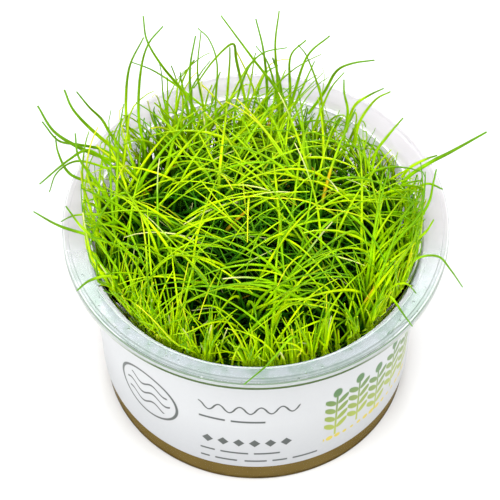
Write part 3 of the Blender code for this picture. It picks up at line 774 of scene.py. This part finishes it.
def makeBedTree():
    # Roots leaves in a round bed and bends each one along its own arc, inside the cup's wall
    tree, given, result = newTree("leafBed", {**bedInputs(bed), "Material": "Material"})
    seeds = iter(range(1, 100))

    def chance(low, high, owner=None):
        seed = given["Seed"] * 37.0 + float(next(seeds))
        plugs = {"Min": low, "Max": high, "Seed": seed}
        if owner is not None:
            plugs["ID"] = owner
        return field("FunctionNodeRandomValue", plugs, output=1, data_type="FLOAT")

    def between(name, owner=None):
        return chance(given[name + " From"], given[name + " To"], owner)

    index = field("GeometryNodeInputIndex", tree=tree)
    tuft = calc("FLOOR", index / given["Leaves Per Tuft"])
    turn = between("Turn", tuft)
    nearest = given["Bed Start"] * given["Bed Start"]
    reach = calc("SQRT", chance(nearest, 1.0, tuft)) * given["Bed Radius"]
    least = given["Tuft Spread"] * -1.0
    x = calc("COSINE", turn) * reach + chance(least, given["Tuft Spread"])
    y = calc("SINE", turn) * reach + chance(least, given["Tuft Spread"])
    back = ease(y, given["Back From"], given["Back To"])
    z = between("Root", tuft) - back * given["Back Drop"]
    cloud = field("GeometryNodePoints", {"Count": given["Leaves"], "Position": joinXyz(x, y, z)})
    place = field("GeometryNodeInputPosition", tree=tree)
    placeBack = ease(splitXyz(place)[1], given["Back From"], given["Back To"])
    kept = spread(placeBack, 0.0, 1.0, given["Front Share"], given["Back Share"])
    dropped = chance(0.0, 1.0, tuft) > kept
    cloud = field("GeometryNodeDeleteGeometry", {"Geometry": cloud, "Selection": dropped})

    way = chance(0.0, 2.0 * math.pi, tuft) + chance(given["Fan"] * -1.0, given["Fan"])
    anyWay = joinXyz(calc("COSINE", way), calc("SINE", way), 0.0)
    outWay = aim("NORMALIZE", aim("MULTIPLY", place, (1.0, 1.0, 0.0)))
    heading = aim("NORMALIZE", aim("ADD", anyWay, aim("SCALE", outWay, scale=given["Outward"])))
    keptLength = 1.0 - placeBack * given["Back Shorten"]
    stored = {
        "leafRoot": ("FLOAT_VECTOR", place),
        "leafHeading": ("FLOAT_VECTOR", heading),
        "leafLength": ("FLOAT", between("Length") * keptLength),
        "leafLean": ("FLOAT", between("Lean")),
        "leafBend": ("FLOAT", between("Bend")),
        "leafSwing": ("FLOAT", chance(given["Swing"] * -1.0, given["Swing"])),
        "leafWidth": ("FLOAT", between("Width")),
        "tone": ("FLOAT", chance(0.0, 1.0)),
        "kind": ("FLOAT", chance(0.0, 1.0)),
        "leafStays": ("FLOAT", chance(0.0, 1.0)),
    }
    for name, (kind, value) in stored.items():
        cloud = store(cloud, name, value, kind)

    line = field("GeometryNodeCurvePrimitiveLine", tree=tree)
    line = field("GeometryNodeResampleCurve", {"Curve": line, "Count": given["Segments"] + 1.0})
    leaves = field("GeometryNodeInstanceOnPoints", {"Points": cloud, "Instance": line})
    leaves = field("GeometryNodeRealizeInstances", {"Geometry": leaves})

    def read(name, kind="FLOAT"):
        return field("GeometryNodeInputNamedAttribute", {"Name": name}, tree=tree, data_type=kind)

    along = field("GeometryNodeSplineParameter", output="Factor", tree=tree)
    tilt = read("leafLean") + read("leafBend") * along ** given["Bend Late"]
    plugs = {"Vector": read("leafHeading", "FLOAT_VECTOR"), "Angle": read("leafSwing") * along}
    flat = field("ShaderNodeVectorRotate", plugs, rotation_type="Z_AXIS")
    growth = aim("ADD", aim("SCALE", flat, scale=calc("SINE", tilt)), joinXyz(0.0, 0.0, calc("COSINE", tilt)))
    spot = joinXyz(read("tone") * 90.0, read("kind") * 70.0, along * 2.2)
    wobble = field("ShaderNodeTexNoise", {"Vector": spot, "Scale": 1.0, "Detail": 1.0}, "Color")
    wobble = aim("SUBTRACT", wobble, (0.5, 0.5, 0.5))
    growth = aim("NORMALIZE", aim("ADD", growth, aim("SCALE", wobble, scale=given["Wander"] * 4.0)))
    stride = read("leafLength") / given["Segments"]
    owner = field("GeometryNodeCurveOfPoint", output="Curve Index", tree=tree)
    plugs = {"Value": aim("SCALE", growth, scale=stride), "Group ID": owner}
    summed = field("GeometryNodeAccumulateField", plugs, "Trailing", data_type="FLOAT_VECTOR")
    path = aim("ADD", read("leafRoot", "FLOAT_VECTOR"), summed)

    pathX, pathY, pathZ = splitXyz(path)
    room = spread(pathZ, 0.0, mouthHeight, wall["baseRadius"], wall["topRadius"])
    room -= wall["thickness"] + wall["leafGap"]
    away = calc("MAXIMUM", aim("LENGTH", joinXyz(pathX, pathY, 0.0)), 1e-6)
    front = ease(pathY / away, -0.2, -0.75, 0.0, given["Front Overhang"])
    over = ease(pathZ, rimHeight - 1.6 * mm, rimHeight + 1.0 * mm)
    front += calc("MAXIMUM", pathX / away * (-1.2 * mm), -0.5 * mm)
    room = room + over * (given["Overhang"] + front)
    share = calc("MINIMUM", room / away, 1.0)
    pushed = (away - room > crushing["push"]) * (pathY / away < crushing["front"])
    leaves = store(leaves, "leafPushed", pushed)
    path = aim("MULTIPLY", path, joinXyz(share, share, 1.0))
    leaves = field("GeometryNodeSetPosition", {"Geometry": leaves, "Position": path})

    # Most leaves that would cross a hollow, hide a bare stretch of the flange or be crushed are left out
    spot = field("GeometryNodeInputPosition", tree=tree)

    def inTube(middle, slant, radius):
        # Whether a point lies in the tube through the middle along the slant, and how far down it
        offset = aim("SUBTRACT", spot, middle)
        down = aim("DOT_PRODUCT", offset, slant)
        aside = aim("LENGTH", aim("SUBTRACT", offset, aim("SCALE", slant, scale=down)))
        return aside < radius, down

    crossing = 0.0
    for *middle, radius in hollows["places"]:
        within, down = inTube([part * mm for part in middle], hollows["slant"], radius * mm)
        crossing = anyOf(crossing, within * (down < hollows["depth"]))

    def hides(angles):
        hiding = 0.0
        for turned in map(math.radians, angles):
            middle = (clearings["reach"] * math.cos(turned), clearings["reach"] * math.sin(turned), rimHeight)
            hiding = anyOf(hiding, inTube(middle, clearings["slant"], clearings["radius"])[0])
        return hiding

    dropped = 0.0
    for value, share in ((crossing, given["Hollow Share"]), (read("leafPushed"), crushing["share"]),
                         (hides(clearings["angles"]), clearings["share"]),
                         (hides(clearings["thinAngles"]), clearings["thinShare"])):
        plugs = {"Value": value, "Group ID": owner}
        crossed = field("GeometryNodeAccumulateField", plugs, "Total", data_type="FLOAT")
        dropped = anyOf(dropped, (crossed > 0.5) * (read("leafStays") < share))
    leaves = field("GeometryNodeDeleteGeometry", {"Geometry": leaves, "Selection": dropped})

    plugs = {name: given[name] for name in ("Sides", "Tip Start", "Tip Width", "Material")}
    plugs.update({"Geometry": leaves, "Width": read("leafWidth")})
    blades = field("GeometryNodeGroup", plugs, node_tree=bladeTree)
    plugs = {"Geometry": blades, "Name": "leaf*"}
    endTree(field("GeometryNodeRemoveAttribute", plugs, pattern_mode="WILDCARD"), given, result)
    return tree


bedTree = makeBedTree()

layers = {
    "deepLeaves": {
        "Leaves": 1100, "Seed": 3, "Bed Radius": 40.0, "Root": (16.0, 26.0), "Width": (0.7, 1.1),
        "Lean": (0.0, 0.6), "Wander": 0.2, "Hollow Share": 0.3,
    },
    "matLeaves": {
        "Leaves": 1200, "Seed": 5, "Root": (24.0, 36.0), "Length": (28.0, 44.0), "Width": (0.5, 0.9),
        "Lean": (0.0, 0.5), "Bend": (0.5, 1.9), "Fan": 0.8, "Wander": 0.18, "Hollow Share": 0.85,
        "Back Share": 0.75, "Back Drop": 4.0, "Back Shorten": 0.15,
    },
    "crownLeaves": {
        "Leaves": 1050, "Seed": 12, "Leaves Per Tuft": 5, "Tuft Spread": 1.8, "Bed Radius": 39.0,
        "Root": (30.0, 42.0), "Length": (42.0, 62.0), "Width": (0.55, 1.1), "Bend": (1.2, 2.3),
        "Bend Late": 1.9, "Fan": 0.45, "Swing": 0.4, "Wander": 0.12, "Hollow Share": 0.6,
        "Back Share": 0.25, "Back Drop": 12.0, "Segments": 16,
    },
    "wallLeaves": {
        "Leaves": 620, "Seed": 17, "Bed Radius": 41.0, "Bed Start": 0.9, "Length": (30.0, 46.0),
        "Width": (0.6, 1.0), "Lean": (0.0, 0.12), "Bend": (0.1, 1.5), "Bend Late": 2.8, "Outward": 0.15,
        "Fan": 1.5, "Wander": 0.05, "Back": (0.0, 30.0), "Back Share": 0.55, "Back Drop": 2.0,
        "Back Shorten": 0.25,
    },
    "frontWallLeaves": {
        "Leaves": 700, "Seed": 41, "Tuft Spread": 1.1, "Bed Radius": 41.2, "Bed Start": 0.96,
        "Root": (26.0, 34.0), "Length": (28.0, 40.0), "Width": (0.75, 1.1), "Lean": (0.0, 0.06),
        "Bend": (0.05, 0.7), "Bend Late": 3.0, "Outward": -0.5, "Fan": 0.8, "Back": (-17.0, 2.0),
        "Back Share": 0.0,
    },
    "backWallLeaves": {
        "Leaves": 400, "Seed": 31, "Leaves Per Tuft": 8, "Bed Start": 0.72, "Length": (24.0, 37.0),
        "Width": (0.8, 1.2), "Lean": (0.0, 0.25), "Bend": (0.1, 1.0), "Bend Late": 2.2, "Fan": 0.7,
        "Wander": 0.08, "Front Share": 0.0, "Back": (0.0, 22.0),
    },
    "backLeaves": {
        "Leaves": 225, "Seed": 23, "Leaves Per Tuft": 3, "Bed Radius": 39.0, "Root": (26.0, 36.0),
        "Length": (36.0, 53.0), "Width": (0.62, 1.0), "Bend": (0.1, 1.1), "Bend Late": 2.0, "Wander": 0.08,
        "Tip Width": 0.5, "Front Share": 0.0,
    },
    "backLeftLeaves": {
        "Leaves": 48, "Seed": 52, "Leaves Per Tuft": 4, "Bed Radius": 39.5, "Bed Start": 0.75,
        "Turn": (1.88, 2.4), "Root": (28.0, 36.0), "Length": (34.0, 50.0), "Lean": (0.0, 0.25),
        "Bend": (0.1, 0.9), "Bend Late": 2.0, "Wander": 0.06, "Tip Width": 0.5,
    },
    "rightWallLeaves": {
        "Leaves": 110, "Seed": 61, "Tuft Spread": 1.0, "Bed Radius": 41.0, "Bed Start": 0.95,
        "Turn": (-0.85, 0.1), "Root": (28.0, 36.0), "Length": (28.0, 42.0), "Lean": (0.0, 0.06),
        "Bend": (0.05, 0.6), "Bend Late": 3.0, "Outward": 0.3, "Overhang": 2.5,
    },
}


def makeLayer(name, values):
    source = linkObject(name + "Source", bpy.data.meshes.new(name + "Source"))
    piece = growMesh(name, source, bedTree, {**bedInputs({**bed, **values}), "Material": hairgrass})
    print(name, "triangles:", sum(len(face.vertices) - 2 for face in piece.data.polygons))
    return finishPiece(piece, "turf")


for layerName, layerValues in layers.items():
    makeLayer(layerName, layerValues)


# The root tangle's near-black colours are painted shade
rootMat = {"radius": 39.6 * mm, "foot": gelTop + 0.3 * mm, "top": 22.0 * mm, "rounding": 4.0 * mm,
           "lumps": 3.0 * mm, "segments": 96, "colour": (0.012, 0.02, 0.003, 1.0),
           "pale": (0.05, 0.075, 0.012, 1.0)}


def makeRootMat():
    # Tangle of roots and runners between the gel and the leaves, coloured near-black: painted shade for the
    # dark under the leaves
    material, tree, shader = newMaterial("rootTangle", Roughness=0.8)
    threads = noiseValue(objectPlace(tree), 260.0, 5.0, 0.7)
    colour = mixColour(spread(threads, 0.4, 0.7), rootMat["colour"], rootMat["pale"])
    link(colour, shader.inputs["Base Color"])
    addBump(shader, threads, 1.0 * mm)
    radius, foot, top, rounding = [rootMat[key] for key in ("radius", "foot", "top", "rounding")]
    profile = [(0.0, foot), (radius * 0.6, foot), (radius, foot)]
    profile += [(radius, foot + (top - rounding - foot) * share) for share in (0.3, 0.6)]
    profile += arcPoints((radius - rounding, top - rounding), rounding, 0, 90, 6)
    profile += [(radius * share, top) for share in (0.75, 0.6, 0.45, 0.3, 0.15)] + [(0.0, top)]
    piece = turnProfile("rootTangle", profile, rootMat["segments"], [material])
    for vertex in piece.data.vertices:
        lump = noise.noise(vertex.co * 120.0) * rootMat["lumps"]
        share = min(max((vertex.co.z - foot) / (10.0 * mm), 0.0), 1.0)
        vertex.co.z += lump * share
        flat = Vector((vertex.co.x, vertex.co.y, 0.0))
        if flat.length > 1.0 * mm:
            vertex.co -= flat.normalized() * abs(noise.noise(vertex.co * 90.0)) * rootMat["lumps"] * 0.5
    return finishPiece(piece, "turf")


makeRootMat()
print("root mat made")


# Single leaves that stand clear of the mat: width, then points from root to tip (heights above the rim)

singles = {"steps": 7, "sides": 8, "tipStart": 0.5, "tipWidth": 0.5}
thin, mid, thick = 0.62, 0.8, 1.02
routes = [
    # standing at the back
    (mid, (-13, 32, -4), (-18, 34, 9), (-24, 34, 21), (-28, 37, 28), (-29, 42, 32)),
    (mid, (-29, 22, 2), (-30.5, 26, 10), (-30, 33, 19), (-28, 38, 25), (-24, 42, 28)),
    (mid, (-33, 24, 0), (-34, 29, 8), (-33, 35, 19), (-29, 39, 27)),
    (thin, (-12, 36, 0), (-19, 38.5, 6), (-24, 39, 11), (-28, 39.5, 14), (-32.5, 40, 16)),
    (mid, (-15, 27, -2), (-16.5, 27, 10), (-17, 31, 23), (-15.5, 37, 30)),
    (thin, (-12, 27, -2), (-13.5, 28, 11), (-15, 30, 24), (-14, 35, 34)),
    (thin, (-10, 29, -2), (-10.5, 29, 11), (-10, 34, 22), (-12, 39, 26), (-15, 43, 26)),
    (mid, (-1, 33, -4), (-3, 35, 8), (-5, 37, 20), (-6, 36, 28), (-11, 31, 27), (-16, 27, 21)),
    (mid, (10, 29, 0), (7, 31, 12), (-1, 34, 25), (-9, 43, 31)),
    (mid, (2, 32, -3), (3, 34, 10), (2, 36, 25), (0, 41, 32)),
    (mid, (6.5, 30, -3), (6, 33, 12), (5, 36, 27), (6, 42, 34)),
    (thin, (6, 36, 2), (5, 37, 10), (3, 38.5, 18), (0, 40.5, 22)),
    (thin, (-6, 26, 0), (-5, 29, 13), (-2, 31, 24), (2, 33, 28), (8, 33, 30)),
    (mid, (9, 32, -2), (9, 34, 12), (9, 36, 23), (13, 39, 26)),
    (thin, (10, 36, 2), (13, 39, 9), (15.5, 42, 14)),
    (thin, (18, 32, 0), (17, 33, 11), (13.5, 38, 20), (11, 40, 23)),
    (mid, (5, 26, 3), (9, 28, 13), (13, 33, 26), (19, 37, 30)),
    (mid, (14, 34, 2), (18, 35.5, 9), (21, 36, 17), (25, 37, 19), (31, 39, 18)),
    (thin, (15, 28, 2), (18, 30, 12), (20, 32, 16), (23, 34, 19)),
    (mid, (23, 25, 2), (24, 27, 11), (23, 30, 15.5), (23, 34, 16)),
    (mid, (26, 22, 4), (27, 24, 11), (31, 28, 15), (35, 30, 16)),
    # over the rim on the right
    (mid, (30, 12, 6), (31, 14, 11), (34, 17, 14), (38, 22, 15)),
    (thick, (37, 6, 4), (39, 8, 8), (45, 10, 12), (50, 11, 15), (59, 15, 18)),
    (mid, (38, 12, 3), (40, 12.5, 6.5), (44, 14, 8), (47, 16, 7)),
    (mid, (38, 3, 4), (40, 4, 7), (44, 6, 8), (48, 5, 7)),
    (mid, (39, -8, 3), (41, -6, 7), (44, -2, 11), (45, 2, 13), (46, 6, 14)),
    (mid, (39, -14, 3), (40, -12, 7), (43, -10, 9), (45, -7, 10)),
    (thin, (38, -18, 3), (41, -16, 6), (46, -16, 6.5), (49, -19, 5), (52, -23, 3)),
    (thin, (34, -23, 3), (36, -24, 6), (38, -25, 7), (40, -27, 6)),
    # over the rim at the front
    (thin, (32, -25, 2), (34, -27, 4), (37, -32, 3.5), (39, -34, 1.7)),
    (thin, (10, -38, 3), (8, -41, 6), (3, -47, 4.5), (-3, -51, 1.3)),
    (mid, (-35, -20, 3), (-38, -21, 5), (-42, -22.5, 5), (-45, -24, 3)),
    # over the rim on the left
    (mid, (-38, -9, 3), (-42, -8, 4.5), (-50, -6, 6), (-57, 0, 4)),
    (mid, (-38, -13, 4), (-40, -12, 8), (-44, -10, 11), (-48, -5, 13)),
    (thin, (-37, -4, 5), (-39, -4, 8), (-46, -3, 6.5), (-50, -2, 2.5)),
    (mid, (-38, 3, 4), (-40, 5, 8), (-45, 8, 16), (-46, 13, 20)),
    (mid, (-39, 8, 2), (-42, 9, 4), (-48, 10, 7), (-51, 15, 9), (-52, 20, 10)),
    (thin, (-37, 12, 4), (-39, 12, 7), (-46, 11, 11), (-51, 8, 10), (-53, 4, 7)),
    (mid, (-36, 15, 2), (-38, 14, 6), (-43, 13, 13), (-48, 8, 15), (-55, 2, 13)),
    (thick, (-37, 18, 2), (-40, 17, 5), (-46, 15, 12), (-52, 17, 16), (-56, 22, 20)),
    (mid, (-35.5, 20.5, -2), (-40, 21, 3), (-46, 18, 9), (-51, 17, 12), (-55, 20, 16)),
    (thick, (-34, 20, 0), (-37, 19, 6), (-43, 19, 15), (-47, 21, 20), (-49, 24, 24)),
    (mid, (-34, 23, -2), (-38, 24, 6), (-40, 24, 12), (-43, 24, 17), (-46, 25, 22)),
    # low ones at the back
    (thin, (-1, 38, -3), (1, 41, 5), (3, 45, 6), (6, 49, 4)),
    (mid, (24, 31, -2), (26, 34, 5), (30, 37, 6), (34, 41, 4)),
]


def smoothRoute(points, steps):
    # Catmull-Rom curve through the points
    points = [Vector(point) for point in points]
    points = [points[0] * 2.0 - points[1]] + points + [points[-1] * 2.0 - points[-2]]
    path = []
    for a, b, c, d in zip(points, points[1:], points[2:], points[3:]):
        for step in range(steps):
            t = step / steps
            path.append(0.5 * (2.0 * b + (c - a) * t + (2.0 * a - 5.0 * b + 4.0 * c - d) * t * t
                               + (3.0 * b - a - 3.0 * c + d) * t * t * t))
    return path + [points[-2]]


def makeSingleTree():
    tree, given, result = newTree("singleLeaf", {
        "Geometry": "Geometry", "Sides": 8, "Width": 0.9 * mm, "Tip Start": 0.45, "Tip Width": 0.3,
        "Tone": 0.5, "Kind": 0.5, "Material": "Material",
    })
    plugs = {name: given[name] for name in ("Sides", "Width", "Tip Start", "Tip Width", "Material")}
    plugs["Geometry"] = field("GeometryNodeMeshToCurve", {"Mesh": given["Geometry"]})
    leaf = field("GeometryNodeGroup", plugs, node_tree=bladeTree)
    for name in ("Tone", "Kind"):
        leaf = store(leaf, name.lower(), given[name])
    endTree(leaf, given, result)
    return tree


singleTree = makeSingleTree()


def makeSingleLeaf(number, width, points):
    path = smoothRoute(points, singles["steps"])
    mesh = bpy.data.meshes.new("leafPath")
    mesh.from_pydata([(x * mm, y * mm, z * mm + rimHeight) for x, y, z in path],
                     [(place, place + 1) for place in range(len(path) - 1)], [])
    piece = growMesh(f"singleLeaf{number:02d}", linkObject("leafPath", mesh), singleTree, {
        "Sides": singles["sides"], "Width": width * mm, "Tip Start": singles["tipStart"],
        "Tip Width": singles["tipWidth"], "Tone": (number * 0.37) % 0.6, "Kind": 0.5, "Material": hairgrass})
    return finishPiece(piece, f"leaf_{number:02d}")


for number, (width, *points) in enumerate(routes, start=1):
    makeSingleLeaf(number, width, points)
print("single leaves made:", len(routes))


# Floor, light and the view transform

studio = {
    "floor": (0.8, 0.8, 0.8, 1.0),
    "world": (1.0, 1.0, 1.0, 1.0),
    "worldStrength": 0.58,
    "aim": (0.0, 0.0, 0.05),
    "lamps": {  # place, size, watts
        "keyLamp": ((-0.15, -0.4, 0.9), 0.8, 8.0),
        "fillLamp": ((0.5, -0.2, 0.6), 0.7, 3.0),
        "backLamp": ((-0.1, 0.7, 0.7), 0.7, 3.5),
        "sideLamp": ((-0.6, -0.35, 0.2), 0.5, 1.5),
    },
    # behind the sleeve
    "glow": {"place": (0.0, 0.5, 0.03), "target": (0.0, 0.04, 0.02), "spread": 12.0, "watts": 28.0},
}


def addLamp(name, kind, place, target, watts, **settings):
    light = bpy.data.lights.new(name, kind)
    light.energy = watts
    for label, value in settings.items():
        setattr(light, label, value)
    lamp = linkObject(name, light)
    lamp.location = place
    lamp.rotation_euler = (Vector(target) - Vector(place)).to_track_quat("-Z", "Y").to_euler()


def setStudio():
    bm = bmesh.new()
    bmesh.ops.create_grid(bm, x_segments=1, y_segments=1, size=3.0)
    mesh = bpy.data.meshes.new("floor")
    bm.to_mesh(mesh)
    bm.free()
    floor = linkObject("floor", mesh)
    mesh.materials.append(newMaterial("floorPaint", Base_Color=studio["floor"], Roughness=0.7)[0])
    world = bpy.data.worlds.new("world")
    world.use_nodes = True
    background = world.node_tree.nodes["Background"]
    background.inputs["Color"].default_value = studio["world"]
    background.inputs["Strength"].default_value = studio["worldStrength"]
    bpy.context.scene.world = world
    for name, (place, size, watts) in studio["lamps"].items():
        addLamp(name, "AREA", place, studio["aim"], watts, shape="DISK", size=size)
    glow = studio["glow"]
    addLamp("glowLamp", "SPOT", glow["place"], glow["target"], glow["watts"],
            spot_size=math.radians(glow["spread"]), spot_blend=0.5, shadow_soft_size=0.03)
    bpy.context.scene.view_settings.view_transform = "Standard"


setStudio()
print("studio set")
